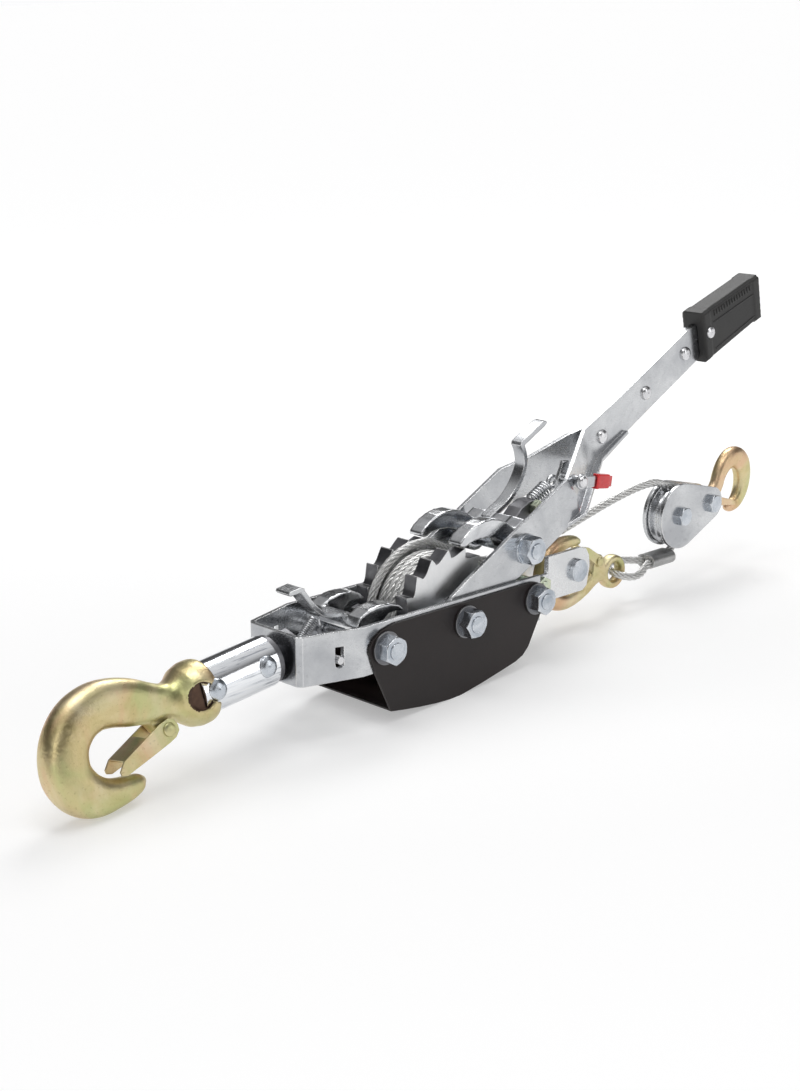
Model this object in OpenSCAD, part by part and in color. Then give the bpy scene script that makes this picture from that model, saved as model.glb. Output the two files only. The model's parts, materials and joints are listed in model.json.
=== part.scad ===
// Come along winch: a hand lever cable puller with a twin ratchet drum, a swivel
// front hook, a rear hook that holds the rope's end, and a pulley block.
// The geometry is laid out about the drum axle (x to the tail, y to the far side,
// z up) and then set down on the floor by seat().

/* [Frame] */
// Overall width of the frame strap
frame_w = 79.8; // [78:0.2:82]
// Height of the strap's side
frame_h = 35.4; // [34:0.2:37]
// Thickness of the strap
strap_t = 3; // [2.5:0.1:3.2]
// Thickness of the sheet guard
guard_t = 1.6; // [1.2:0.1:2]

/* [Drum] */
// Radius over the ratchet teeth
tooth_r = 50.3; // [49:0.1:50.5]
// Number of ratchet teeth
teeth = 18; // [16:1:20]
// Radius of the wound rope
wind_r = 44; // [40:0.5:44]
// Diameter of the wire rope
rope_d = 6.5; // [6:0.1:6.5]

/* [Handle] */
// Angle of the handle above the frame
handle_a = 27.4; // [24:0.2:32]
// Distance from the axle to the pawl pivot
pawl_u = 80; // [79:0.5:82]
// Thickness of each handle half
plate_t = 3; // [2.5:0.1:3]

/* [Front hook] */
// Droop of the swivel axis below the frame
droop = 6.86; // [5:0.1:8]
// Roll of the hook about the swivel axis
hook_roll = 13; // [8:1:16]
// Radius of the tube between nose and hook
sleeve_r = 18.1; // [17.5:0.1:18.5]

/* [Pulley block] */
// Radius of the sheave's flange
sheave_r = 25; // [24:0.5:25.5]
// Radius of the cheek's round end
cheek_r = 27.5; // [27:0.5:28]

/* [Hidden] */
$fn = 64;
e = 0.02;
pitch = 2.64;                // the frame's tilt as it lies on hook and guard
org = [-32.7, 2.35, 54.711];    // seat of the axle centre, so that z = 0 is the floor
bolt_r = 6;
fw = frame_w / 2;            // outer half width
fi = fw - strap_t;           // inner half width
gy = fw + 0.3 + guard_t;     // guard's outer face
zt = frame_h / 2 - 0.3;      // top of the strap
zb = zt - frame_h;           // bottom of the strap
nose_x = -147.3;
rear_x = 82.5;
pp = [80, 3.4];              // pawl pivot in the handle's own plane
rr = rope_d / 2;

// ---- helpers -----------------------------------------------------------------
// the whole assembly as it lies on the floor
module seat() { translate(org) rotate([0, pitch, 0]) children(); }
// flat profile drawn in x and z, from y0 to y1
module slab(y0, y1) { translate([0, y1, 0]) rotate([90, 0, 0]) linear_extrude(y1 - y0) children(); }
// round bar along y
module bar_y(r, y0, y1, x = 0, z = 0) { translate([x, y0, z]) rotate([-90, 0, 0]) cylinder(r = r, h = y1 - y0); }
// hexagon along y, af = across flats
module hex_y(af, y0, y1, x = 0, z = 0, turn = 0) {
  translate([x, y0, z]) rotate([-90, 0, 0]) rotate([0, 0, turn]) cylinder(r = af / 2 / cos(30), h = y1 - y0, $fn = 6);
}
module ring_y(ro, ri, y0, y1, x = 0, z = 0) {
  difference() { bar_y(ro, y0, y1, x, z); bar_y(ri, y0 - 1, y1 + 1, x, z); }
}
// the handle's own frame: x runs along the handle
module H() { seat() rotate([0, -handle_a, 0]) children(); }
// the swivel's own frame: x runs out of the nose along the hook's shank
module S() { seat() translate([-150, 0, -2]) rotate([0, -droop, 0]) rotate([0, 0, 180]) rotate([hook_roll, 0, 0]) children(); }

function norm2(v) = v / norm(v);
function tangent(p, i) = norm2(p[min(i + 1, len(p) - 1)] - p[max(i - 1, 0)]);
// outline of a strip of half width w(i) along flat points p
function strip(p, w) = let (n = len(p), t = [for (i = [0:n-1]) tangent(p, i)])
  concat([for (i = [0:n-1]) p[i] + [-t[i][1], t[i][0]] * w[i]],
         [for (i = [n-1:-1:0]) p[i] - [-t[i][1], t[i][0]] * w[i]]);
function same(n, w) = [for (i = [0:n-1]) w];

// Catmull-Rom curve through flat or solid points, k steps a span
function cr(a, b, c, d, t) = 0.5 * ((2 * b) + (c - a) * t + (2 * a - 5 * b + 4 * c - d) * t * t + (3 * b - a - 3 * c + d) * t * t * t);
function curve(p, k) = let (n = len(p)) concat([for (i = [0:n-2], j = [0:k-1])
  cr(p[max(i-1, 0)], p[i], p[i+1], p[min(i+2, n-1)], j / k)], [p[n-1]]);

// solid swept along a flat centre line in x and z: each ring is an oval,
// w across in the plane and t across along y
module forged(p, w, t, m = 16) {
  n = len(p);
  tg = [for (i = [0:n-1]) tangent(p, i)];
  pts = [for (i = [0:n-1], j = [0:m-1]) let (a = 360 * (j + 0.5) / m, c = cos(a), s = sin(a),
      q = pow(pow(abs(c), 2.6) + pow(abs(s), 2.6), -1 / 2.6))
      [p[i][0] - tg[i][1] * w[i] * c * q, t[i] * s * q, p[i][1] + tg[i][0] * w[i] * c * q]];
  polyhedron(pts, concat(
    [for (j = [1:m-2]) [0, j + 1, j]], [for (j = [1:m-2]) [(n-1) * m, (n-1) * m + j, (n-1) * m + j + 1]],
    [for (i = [0:n-2], j = [0:m-1]) [i*m + j, (i+1)*m + (j+1) % m, (i+1)*m + j]],
    [for (i = [0:n-2], j = [0:m-1]) [i*m + j, i*m + (j+1) % m, (i+1)*m + (j+1) % m]]), convexity = 8);
}

// round rope swept along solid points
function perp(t) = norm2(cross(t, abs(t[1]) < 0.9 ? [0, 1, 0] : [1, 0, 0]));
function carry(f, t) = norm2(f - t * (f * t));
function frames(tg, i = 0, f = undef, out = []) = i == len(tg) ? out :
  let (g = i == 0 ? perp(tg[0]) : carry(f, tg[i])) frames(tg, i + 1, g, concat(out, [g]));
module tube(p, r, m = 10) {
  n = len(p);
  tg = [for (i = [0:n-1]) tangent(p, i)];
  fr = frames(tg);
  pts = [for (i = [0:n-1], j = [0:m-1]) let (a = 360 * j / m) p[i] + r * (cos(a) * fr[i] + sin(a) * cross(tg[i], fr[i]))];
  polyhedron(pts, concat(
    [for (j = [1:m-2]) [0, j, j + 1]], [for (j = [1:m-2]) [(n-1) * m, (n-1) * m + j + 1, (n-1) * m + j]],
    [for (i = [0:n-2], j = [0:m-1]) [i*m + j, (i+1)*m + j, (i+1)*m + (j+1) % m]],
    [for (i = [0:n-2], j = [0:m-1]) [i*m + j, (i+1)*m + (j+1) % m, i*m + (j+1) % m]]), convexity = 8);
}

// ---- frame -------------------------------------------------------------------
flare_x = -100;
flare_y = 26.2;
fk = (fw - flare_y) / (flare_x - nose_x);     // slope of the flare
fc = strap_t * sqrt(1 + fk * fk);
nose_in = nose_x + strap_t;
module strap_plan() {
  ni = flare_y + fk * (nose_in - nose_x) - fc;
  fx = nose_x + (fi + fc - flare_y) / fk;
  polygon([[rear_x, -fw], [flare_x, -fw], [nose_x + 3, -flare_y - fk * 3], [nose_x, -flare_y + 3],
    [nose_x, flare_y - 3], [nose_x + 3, flare_y + fk * 3], [flare_x, fw], [rear_x, fw],
    [rear_x, fi], [fx, fi], [nose_in + 2, ni + fk * 2 - 0.5], [nose_in, ni - 3], [nose_in, 3 - ni], [nose_in + 2, -ni - fk * 2 + 0.5], [fx, -fi], [rear_x, -fi]]);
}
bolts = [[-81, -1], [0, 0], [75.6, 1]];
module frame_strap() color("silver") seat() difference() {
  translate([0, 0, zb]) linear_extrude(frame_h) strap_plan();
  for (b = bolts) bar_y(bolt_r + 0.25, -60, 60, b[0], b[1]);
  // slots for the pawl spring's anchor pin
  for (s = [-1, 1]) translate([-117.7, s * 34.8, 0]) {
    translate([-3.2, -4, -5.5]) cube([6.4, 8, 12]);
    rotate([90, 0, 0]) translate([0, -5.5, -4]) cylinder(r = 3.2, h = 8);
  }
  // hole for the swivel stem, bored along the drooped axis
  translate([-150, 0, -2]) rotate([0, 90 - droop, 0]) translate([0, 0, -10]) cylinder(r = 9.3, h = 30);
}

gp = [[-96.6, -1.5], [-90.1, -19.4], [-75.7, -49.2], [-62, -51.3], [-46.8, -53.2], [-30, -54.8], [-16, -55.4], [-5, -55.0],
  [15.6, -51.6], [37.3, -47.2], [54, -43.6], [62, -40.5], [68.2, -34.8], [82.2, -10.3], [82.8, 3], [78, 13], [72, 14.6],
  [-72, 14.6], [-84, 12.2], [-92.5, 7], [-96, 2.5]];
module guard() color([0.13, 0.12, 0.12]) seat() difference() {
  slab(-gy, gy) polygon(gp);
  slab(-gy + guard_t, gy - guard_t) polygon([[-140, -50], [-75.7 - 0.6, -49.2 + guard_t], [-62, -51.3 + guard_t], [-46.8, -53.2 + guard_t], [-30, -54.8 + guard_t],
    [-16, -55.4 + guard_t], [-5, -55.0 + guard_t], [15.6, -51.6 + guard_t], [37.3, -47.2 + guard_t], [54, -43.6 + guard_t], [61, -40.5 + guard_t],
    [66.6, -35], [70, -29], [140, -29], [140, 60], [-140, 60]]);
  for (b = bolts) bar_y(bolt_r + 0.4, -60, 60, b[0], b[1]);
}
module through_bolt(b, len_n = 52.6) {
  bar_y(bolt_r, -gy - 12.2, gy + e, b[0], b[1]);
  hex_y(18.8, gy, gy + 7.5, b[0], b[1], 30);
}
module front_bolt() color("lightsteelblue") seat() through_bolt(bolts[0]);
module axle_bolt() color("lightsteelblue") seat() through_bolt(bolts[1]);
module rear_bolt() color("lightsteelblue") seat() through_bolt(bolts[2]);
module frame_washers() color("gray") seat() for (b = bolts)
  ring_y(12, bolt_r + 0.3, -gy - 1.6, -gy, b[0], b[1]);
module frame_nuts() color("lightsteelblue") seat() for (i = [0:2]) let (b = bolts[i]) difference() {
  intersection() {
    hex_y(18.8, -gy - 11.4, -gy - 1.6, b[0], b[1], [30, 0, 30][i]);
    translate([b[0], -gy - 11.4, b[1]]) rotate([-90, 0, 0]) rotate_extrude() polygon([[0, 0], [9.6, 0], [11.4, 1.3], [11.4, 9.8], [0, 9.8]]);
  }
  bar_y(bolt_r, -70, 0, b[0], b[1]);
}
module front_spacer() color("silver") seat() ring_y(8.5, bolt_r + 0.02, -fi, fi, bolts[0][0], bolts[0][1]);
module rear_spacer() color("silver") seat() ring_y(8.2, bolt_r + 0.02, -fi, fi, bolts[2][0], bolts[2][1]);
module axle_bush() color("darkgoldenrod") seat() ring_y(8, bolt_r + 0.02, -fi, fi);
module axle_spacers() color("silver") seat() for (s = [-1, 1])
  ring_y(14, 8 + 0.01, s > 0 ? 26.3 : -33.1, s > 0 ? 33.1 : -26.3);

// ---- drum --------------------------------------------------------------------
tp = 360 / teeth;
module tooth_ring() polygon([for (i = [0:teeth-1], q = [[tooth_r, 0.9], [tooth_r, 0], [tooth_r - 3.2, -1.6], [tooth_r - 5.9, -2.6], [tooth_r - 6.1, -5.5], [tooth_r - 5.2, -9.5], [tooth_r - 3, -14]])
  let (a = 12.5 + i * -tp + q[1]) [q[0] * cos(a), q[0] * sin(a)]]);
module drum_core() color("silver") seat() difference() {
  union() { bar_y(16, -26, 26); bar_y(22, -14, 14); }
  bar_y(8.05, -30, 30);
}
module ratchet(y0, y1) difference() { slab(y0, y1) tooth_ring(); bar_y(16, y0 - 1, y1 + 1); }
module ratchet_near() color("gainsboro") seat() ratchet(-26, -14);
module ratchet_far() color("gainsboro") seat() ratchet(14, 26);
module rope_winding() color("darkgray") seat() translate([0, -13.8, 0]) rotate([-90, 0, 0]) rotate_extrude()
  polygon(concat([[22, 0], [wind_r - 1.5, 0]], [for (i = [0:3]) each [[wind_r, 1.6 + i * 6.9], [wind_r, 5.2 + i * 6.9], [wind_r - 1.5, 6.9 + i * 6.9]]], [[22, 27.6]]));

// ---- handle ------------------------------------------------------------------
hz = fi - 0.5;               // outer face of the flat part of each half
bar_u = 352;
module half_plan() polygon([[-26, hz], [141.5, hz], [206, plate_t + 0.1], [424, plate_t + 0.1], [424, 0.1], [205.2, 0.1], [140.8, hz - plate_t], [-26, hz - plate_t]]);
// outline of a half in its side view: top and bottom heights of the wide part
module half_side(top, bot) {
  circle(r = (top - bot) / 2 + 3);
  polygon([[0, top - 1], [20, top], [143, top], [165, top - 2], [195, 18], [206, 17], [250, 15.2], [bar_u, 15],
    [358, 13], [418, 3.5], [416, -18], [356, -12.5], [bar_u, -15], [250, -15.2], [206, -14.5], [185, bot - 1.5], [143, bot], [50, bot], [10, -18], [0, -18]]);
}
module half_lip(s, bot) {
  // stiffening lip along the lower edge of the sloped part, turned outward
  intersection() {
    translate([0, 0, -20]) linear_extrude(40) polygon([[126, s * (hz - 1)], [141.2, s * (hz - 1)], [205.7, s * 1.5], [246, s * 1.5],
      [246, s * (plate_t + 3.5)], [207.5, s * (plate_t + 6)], [143, s * (hz + 5.6)], [128, s * (hz + 0.6)]]);
    slab(-60, 60) polygon([[118, bot], [143, bot], [185, bot - 1.5], [206, -14.5], [250, -15.2], [250, -12.8], [206, -12.1], [185, bot + 0.9], [143, bot + 2.4], [118, bot + 2.4]]);
  }
}
rivet_u = [220.4, 281.3, 338.3];
module half(s, top, bot) difference() {
  union() {
    intersection() {
      translate([0, 0, -60]) linear_extrude(120) mirror([0, s < 0 ? 1 : 0, 0]) half_plan();
      slab(-60, 60) half_side(top, bot);
    }
    half_lip(s, bot);
  }
  bar_y(8.06, -60, 60);
  bar_y(bolt_r + 0.02, -60, 60, pp[0], pp[1]);
  for (u = rivet_u) bar_y(3.5, -60, 60, u, -0.6);
  bar_y(3.2, -60, 60, 366, 3);
  if (s < 0) bar_y(4.05, -60, 0, 152.5, 12.5);
}
module handle_half_near() color("silver") H() half(-1, 22, -12);
module handle_half_far() color("silver") H() half(1, 18, -14);
module dome_y(r, h, y, s, x, z) translate([x, y, z]) rotate([s > 0 ? -90 : 90, 0, 0]) rotate_extrude() polygon([[0, 0], [r, 0], [r * 0.9, h * 0.55], [r * 0.6, h * 0.88], [0, h]]);
module handle_rivets() color("lightgray") H() for (u = rivet_u) {
  bar_y(3.5, -plate_t - 0.1, plate_t + 0.1, u, -0.6);
  for (s = [-1, 1]) dome_y(5.8, 3.2, s * (plate_t + 0.1), s, u, -0.6);
}
module handle_grip() color([0.07, 0.07, 0.07]) H() difference() {
  union() {
    slab(-10.5, 10.5) polygon([[371, 20.4], [439, 9.4], [430, -24.3], [360, -17.6]]);
    slab(-8.5, 8.5) polygon([[369, 22.2], [440, 11], [431, -26], [357.5, -19.4]]);
    slab(-11.4, 11.4) polygon([[364, 21.6], [372.5, 20.6], [361.5, -17.8], [354, -17.0]]);
    slab(-9.4, 9.4) polygon([[363.4, 23.2], [372.5, 22.0], [361, -19.4], [353, -18.8]]);
    slab(-11.4, 11.4) polygon([[434, 10.6], [442.5, 9.0], [432.5, -25.4], [425, -24.2]]);
    slab(-9.4, 9.4) polygon([[434, 12], [443, 10.6], [433, -27], [425, -26]]);
  }
  slab(-plate_t - 0.12, plate_t + 0.12) polygon([[340, 15.05], [bar_u, 15.05], [358, 13.05], [418.05, 3.55], [416.05, -18.05], [356, -12.55], [bar_u, -15.05], [340, -15.05]]);
  bar_y(3.2, -30, 30, 366, 3);
}
module grip_rivet() color("lightgray") H() {
  bar_y(3.2, -11.4, 11.4, 366, 3);
  for (s = [-1, 1]) dome_y(5, 2, s * 11.4, s, 366, 3);
}
module pawl_bolt() color("lightsteelblue") H() {
  bar_y(bolt_r, -hz - 12.4, hz + e, pp[0], pp[1]);
  hex_y(18.8, hz, hz + 7.5, pp[0], pp[1], 0);
}
module pawl_bolt_nut() color("lightsteelblue") H() {
  ring_y(11.5, bolt_r, -hz - 1.8, -hz, pp[0], pp[1]);
  difference() {
    intersection() {
      hex_y(18.8, -hz - 11.4, -hz - 1.8, pp[0], pp[1], 22);
      translate([pp[0], -hz - 11.4, pp[1]]) rotate([-90, 0, 0]) rotate_extrude() polygon([[0, 0], [9.6, 0], [11.4, 1.3], [11.4, 9.8], [0, 9.8]]);
    }
    bar_y(bolt_r, -70, 0, pp[0], pp[1]);
  }
}

// ---- drive pawl --------------------------------------------------------------
pw = [pp[0] * cos(handle_a) - pp[1] * sin(handle_a), pp[0] * sin(handle_a) + pp[1] * cos(handle_a)];
module claw() {
  translate(pw) circle(r = 11);
  rotate(handle_a) translate([79, 2]) square([18.5, 14.2]);
  polygon([[9.5, 51.0], [10.2, 53.5], [14, 57.2], [20, 61], [27, 63.8], [35, 65.4], [43, 65.4], [51, 63.6], [59, 60.0], [67, 54.5], [75, 49.4], [79, 42], [72, 34], [62, 33], [58.2, 40.5],
    [54, 46.0], [47, 49.8], [38, 51.9], [28, 52.6], [20, 51.6], [15.6, 49.4], [12, 49.9]]);
}
module drive_pawl() color("gainsboro") seat() difference() {
  union() {
    slab(-26.5, -13.5) claw();
    slab(13.5, 26.5) claw();
    // bridge behind the hubs
    rotate([0, -handle_a, 0]) translate([87, -20, 6.6]) cube([11, 40, 9.2]);
  }
  bar_y(bolt_r + 0.05, -60, 60, pw[0], pw[1]);
}
lev = curve([[90, 15.5], [100, 15.2], [112, 15.2], [124, 18.2], [134, 23.4], [141, 30], [143.6, 37], [144.2, 43.0]], 3);
module release_lever() color("silver") H() {
  slab(2, 12) polygon(strip(lev, same(len(lev), 1.8)));
  slab(2, 12) polygon([[142.4, 43], [142.2, 46.2], [144, 48.2], [172, 48.0], [175, 46.4], [175, 44.6], [172, 43.8], [146.2, 44], [146, 43]]);
}
module pawl_tail_block() color([0.15, 0.15, 0.16]) H() difference() {
  slab(-15, -1) polygon([[98.05, 1], [98.05, 13], [108, 15.5], [118, 14.5], [125, 11], [126, 5], [121, 0.5], [104, -2]]);
  bar_y(4.02, -30, 10, 119.5, 7);
}
module pawl_tail_bolt() color([0.62, 0.66, 0.45]) H() {
  bar_y(4, -18.6, 1, 119.5, 7);
  hex_y(11.5, -20.8, -15.1, 119.5, 7, 0);
}
module pawl_spring_rod() color("lightgray") H() {
  // rod with a ring at its end
  translate([126.05, -8, 7]) rotate([0, 90, 0]) cylinder(r = 2.2, h = 20.6);
  translate([150.4, -8, 7]) rotate([90, 0, 0]) rotate_extrude() translate([4.4, 0]) circle(r = 1.9, $fn = 24);
}
module pawl_spring() color("silver") H() translate([126.1, -8, 7]) rotate([0, 90, 0]) rotate_extrude()
  polygon([[5.2, 0], [7, 0], [7, 17.5], [5.2, 17.5]]);

// ---- direction lever ---------------------------------------------------------
dp = [152.5, 12.5];
da = -35.8;
module direction_lever() color("silver") H() difference() {
  union() {
    slab(-39.4, -37.2) { translate(dp) circle(r = 5.8); translate(dp) rotate([0, 0, da]) translate([0, -4.2]) square([22, 8.4]); }
    bar_y(4, -37.4, -17, dp[0], dp[1]);
  }
  bar_y(2.1, -60, -29, dp[0], dp[1]);
}
module direction_lever_screw() color("lightgray") H() {
  bar_y(2.1, -39.4, -29.1, dp[0], dp[1]);
  dome_y(4.6, 2.6, -39.4, -1, dp[0], dp[1]);
}
module direction_lever_cap() color([0.85, 0.08, 0.08]) H() difference() {
  translate([dp[0], 0, dp[1]]) rotate([0, -da, 0]) union() {
    translate([16.6, -41.5, -5.5]) cube([13.6, 6.4, 11]);
    translate([30.2, -41.2, -4.2]) cube([3.6, 5.8, 8.4]);
    translate([16, -41, -5.9]) cube([2.2, 5.4, 11.8]);
  }
  slab(-39.4, -37.2) translate(dp) rotate([0, 0, da]) translate([0, -4.2]) square([22, 8.4]);
}
module direction_inner_arm() color("silver") H() slab(-19.8, -17) difference() {
  polygon(strip([[145.5, 6.5], [149, 10], [152.5, 12.5], [157.5, 17.5], [161, 22.5]], [3.4, 4.2, 5.6, 4.2, 3.6]));
  translate(dp) circle(r = 4);
}

// ---- holding pawl ------------------------------------------------------------
hb = bolts[0];
module hold_claw() {
  translate(hb) circle(r = 12);
  polygon([[-91.5, 4], [-94, 12], [-90, 19], [-82, 22.6], [-72, 24.2], [-61, 23.6], [-52.5, 20.6], [-48.2, 16.6], [-49.4, 15.0], [-56, 16.8], [-63, 16.4], [-68.5, 12.6], [-70.5, 7], [-70.5, 3]]);
}
module holding_pawl() color("gainsboro") seat() difference() {
  union() {
    slab(-26.5, -13.5) hold_claw();
    slab(13.5, 26.5) hold_claw();
    slab(-20, 20) polygon([[-93, 9], [-93.6, 13], [-89.4, 19], [-84.5, 18.4], [-86.5, 14], [-86.5, 9.5]]);
  }
  bar_y(8.55, -60, 60, hb[0], hb[1]);
}
hl = curve([[-89, 17.6], [-98, 19], [-106, 21], [-114, 26.5], [-121, 34], [-127, 41.6]], 3);
module holding_pawl_lever() color("silver") seat() {
  slab(-9, 5) polygon(strip(hl, same(len(hl), 1.6)));
  slab(-9, 5) polygon([[-125.2, 40.6], [-126.2, 44.2], [-129, 45.4], [-139, 44.2], [-140, 42.4], [-138.5, 41], [-129, 41.8], [-128, 40.4]]);
}
module spring_anchor_pin() color("lightgray") seat() {
  bar_y(2.8, -36.2, 36.2, -117.7, -3);
}
module holding_pawl_spring() color("gray") seat() {
  a = [-117.7, -3]; b = [-99, 15.4];
  l = norm(b - a);
  translate([a[0], 9, a[1]]) rotate([0, 90 - atan2(b[1] - a[1], b[0] - a[0]), 0]) translate([0, 0, 3.2])
    rotate_extrude() polygon([[2.6, 0], [4.2, 0], [4.2, l - 6.5], [2.6, l - 6.5]]);
}

// ---- swivel, front hook --------------------------------------------------------
module swivel_stem() color("gray") S() {
  rotate([0, 90, 0]) translate([0, 0, -19]) {
    cylinder(r = 9.2, h = 45);
    cylinder(r = 15, h = 8, $fn = 6);
  }
}
module nose_washer() color([0.2, 0.2, 0.2]) S() rotate([0, 90, 0]) difference() {
  translate([0, 0, 1.6]) cylinder(r = 17, h = 4.4);
  cylinder(r = 9.25, h = 40);
}
rv = [16.5, 60];
module swivel_sleeve() color([0.85, 0.87, 0.9]) S() difference() {
  rotate([0, 90, 0]) translate([0, 0, 6.1]) cylinder(r = sleeve_r, h = 64);
  rotate([0, 90, 0]) translate([0, 0, 6]) cylinder(r = 9.2, h = 20.02);
  rotate([0, 90, 0]) translate([0, 0, 26]) cylinder(r = 13.5, h = 50);
  for (s = rv) bar_y(5, -30, 30, s, 0);
}
module sleeve_rivets() color("lightsteelblue") S() for (s = rv) {
  difference() { bar_y(5, -sleeve_r, sleeve_r, s, 0); if (s < 30) rotate([0, 90, 0]) cylinder(r = 9.21, h = 60); else rotate([0, 90, 0]) translate([0, 0, 40]) cylinder(r = 13.51, h = 60); }
  for (q = [-1, 1]) difference() {
    dome_y(7.6, 4.2, q * (sleeve_r - 1.7), q, s, 0);
    rotate([0, 90, 0]) cylinder(r = sleeve_r, h = 90);
  }
}
hc = [[82, 1.5], [91, 3.4], [104, 6.6], [117.5, 12], [131.5, 16.8], [145, 18.2], [159, 13.6], [170, 2.2], [174, -12.5], [171.2, -23.5], [164.8, -31.6], [156, -36.6], [145.5, -39], [134, -39.6], [125.5, -39], [122, -38.8]];
hw = [16.5, 11.5, 13.6, 15.6, 15.9, 15.8, 16, 16.2, 16.6, 16.2, 15.2, 13, 10, 8, 5.8, 3];
ht = [15.5, 11.5, 10.8, 11.2, 11.6, 12, 12, 12, 12, 12, 12, 11.4, 10.2, 8.6, 6.4, 3.2];
module front_hook() color([0.82, 0.76, 0.5]) S() difference() {
  union() {
    forged(hc, hw, ht, 16);
    // plug that fills the sleeve's end, and the cup around it
    rotate([0, 90, 0]) translate([0, 0, 40]) cylinder(r = 13.5, h = 42);
    rotate([0, 90, 0]) rotate_extrude() polygon([[10, 70.3], [sleeve_r + 0.05, 70.3], [sleeve_r + 0.05, 60], [21.2, 60], [22.4, 64], [22.4, 70], [20.5, 77], [16, 83], [10, 86]]);
    // ear for the latch
    slab(-6.5, 6.5) polygon([[90, -5], [92.5, -13.5], [96, -18.4], [101.4, -18.4], [105, -13.5], [110, -4]]);
  }
  // window that shows the sleeve's end on each side
  for (q = [-1, 1]) translate([72.5, q * 22, 0]) rotate([0, 90, 90]) scale([1, 1, 1]) cylinder(r = 9.5, h = 13, center = true);
  for (s = rv) bar_y(5, -30, 30, s, 0);
  for (q = [-1, 1]) bar_y(7.7, q > 0 ? 15 : -30, q > 0 ? 30 : -15, rv[1], 0);
  bar_y(3.03, -30, 30, 98.7, -13.3);
}
lp = [98.7, -13.3];
la = 21.2;
module front_latch() color([0.78, 0.74, 0.42]) S() translate([lp[0], 0, lp[1]]) rotate([0, la, 0]) difference() {
  union() {
    for (q = [-1, 1]) translate([0, q * 8.3 - (q > 0 ? 0 : 1.4), 0]) slab(0, 1.4)
      polygon([[-7, -2], [-5.5, -5.5], [-1, -7.4], [5, -7], [20, -4.8], [42, -1.2], [45, 1.4], [44.5, 4], [38, 7.4], [4, 7.4], [-4, 6.2], [-6.8, 3]]);
    translate([16, -9.7, 6]) cube([22, 19.4, 1.4]);
  }
  bar_y(3.03, -30, 30);
}
module front_latch_pin() color([0.7, 0.66, 0.4]) S() {
  bar_y(3, -9.8, 9.8, lp[0], lp[1]);
  dome_y(4.8, 1.8, 9.8, 1, lp[0], lp[1]);
  dome_y(4.8, 1.8, -9.8, -1, lp[0], lp[1]);
}
module front_latch_spring() color("gray") S() for (q = [-1, 1]) ring_y(4.6, 3.1, q > 0 ? 6.6 : -8.1, q > 0 ? 8.1 : -6.6, lp[0], lp[1]);

// ---- anchor bracket and rear hook ----------------------------------------------
ab = [152.6, 2.6];
module ab_plan() polygon([[63, fi - 3.6], [99, fi - 3.6], [118, 17], [168, 17], [168, 14], [116.8, 14], [97.7, fi - 6.6], [63, fi - 6.6]]);
module anchor_bracket() color("whitesmoke") seat() difference() {
  for (s = [0, 1]) mirror([0, s, 0]) intersection() {
    translate([0, 0, -30]) linear_extrude(60) ab_plan();
    slab(-50, 50) polygon([[63, 8], [70, 12], [98, 13.8], [112, 19], [118, 20], [156, 20.5], [163, 18.5], [167, 12], [168, 3], [165, -12], [160, -15.5], [118, -15.5], [98, -12], [66, -11], [63, -8]]);
  }
  bar_y(8.25, -60, 60, 75.6, 1);
  bar_y(6.02, -60, 60, ab[0], ab[1]);
  bar_y(4.02, -60, 60, 91, 6.5);
}
module anchor_pin() color("lightsteelblue") seat() {
  bar_y(6, -18.4, 18.4, ab[0], ab[1]);
  bar_y(9, -20.6, -17.02, ab[0], ab[1]);
  bar_y(9, 17.02, 20.6, ab[0], ab[1]);
}
module anchor_bolt() color([0.62, 0.66, 0.45]) seat() {
  bar_y(4, -38.5, 34, 91, 6.5);
  hex_y(12.5, -37.6, -33.35, 91, 6.5, 30);
  hex_y(12.5, 33.35, 38, 91, 6.5, 30);
}
rc = [[206, -13.5], [199, -13.2], [190, -16.2], [180, -22], [168, -26.4], [155, -28], [143, -24.8], [134, -17], [130, -6.5], [131.5, 5], [138, 13.8], [148, 19.2], [158, 20.8], [167, 20.2], [173, 18.6]];
rw = [8, 7, 6.4, 6, 6, 6.4, 6.8, 7, 7, 6.6, 6.2, 5.8, 5.2, 4.4, 2.8];
rt = [4.6, 5.2, 5.6, 5.8, 6, 6.2, 6.4, 6.4, 6.4, 6.2, 6, 5.6, 5, 4.2, 2.8];
re = [216.5, -14.8];
module rear_hook() color([0.86, 0.8, 0.55]) seat() difference() {
  union() {
    forged(rc, rw, rt, 12);
    bar_y(14, -4.6, 4.6, re[0], re[1]);
    slab(-4.6, 4.6) polygon([[188, -12], [190, 1.0], [193.6, 4.6], [198.4, 3.6], [203, -4], [206, -14]]);
  }
  bar_y(7.6, -20, 20, re[0], re[1]);
  bar_y(2.53, -20, 20, 194.4, -1.2);
}
rl = [194.4, -1.2];
module rear_hook_latch() color([0.84, 0.78, 0.5]) seat() difference() {
  union() {
    for (q = [-1, 1]) slab(q > 0 ? 4.9 : -6.1, q > 0 ? 6.1 : -4.9) polygon([[198.6, -2.6], [198, 2.4], [194, 4.2], [180, 13.2], [173, 15.2], [171.6, 13.4], [173, 9.6], [188, -1.5], [193, -5.6], [196.6, -5.4]]);
    rotate([0, 0, 0]) slab(-5, 5) polygon([[171.6, 13.4], [173, 9.6], [184, 1.4], [184.8, 2.4], [174.6, 10.4], [173, 14]]);
  }
  bar_y(2.53, -20, 20, rl[0], rl[1]);
}
module rear_latch_rivet() color([0.8, 0.72, 0.45]) seat() {
  bar_y(2.5, -6.2, 6.2, rl[0], rl[1]);
  dome_y(4, 1.8, -6.2, -1, rl[0], rl[1]);
  dome_y(4, 1.8, 6.2, 1, rl[0], rl[1]);
}

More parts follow.
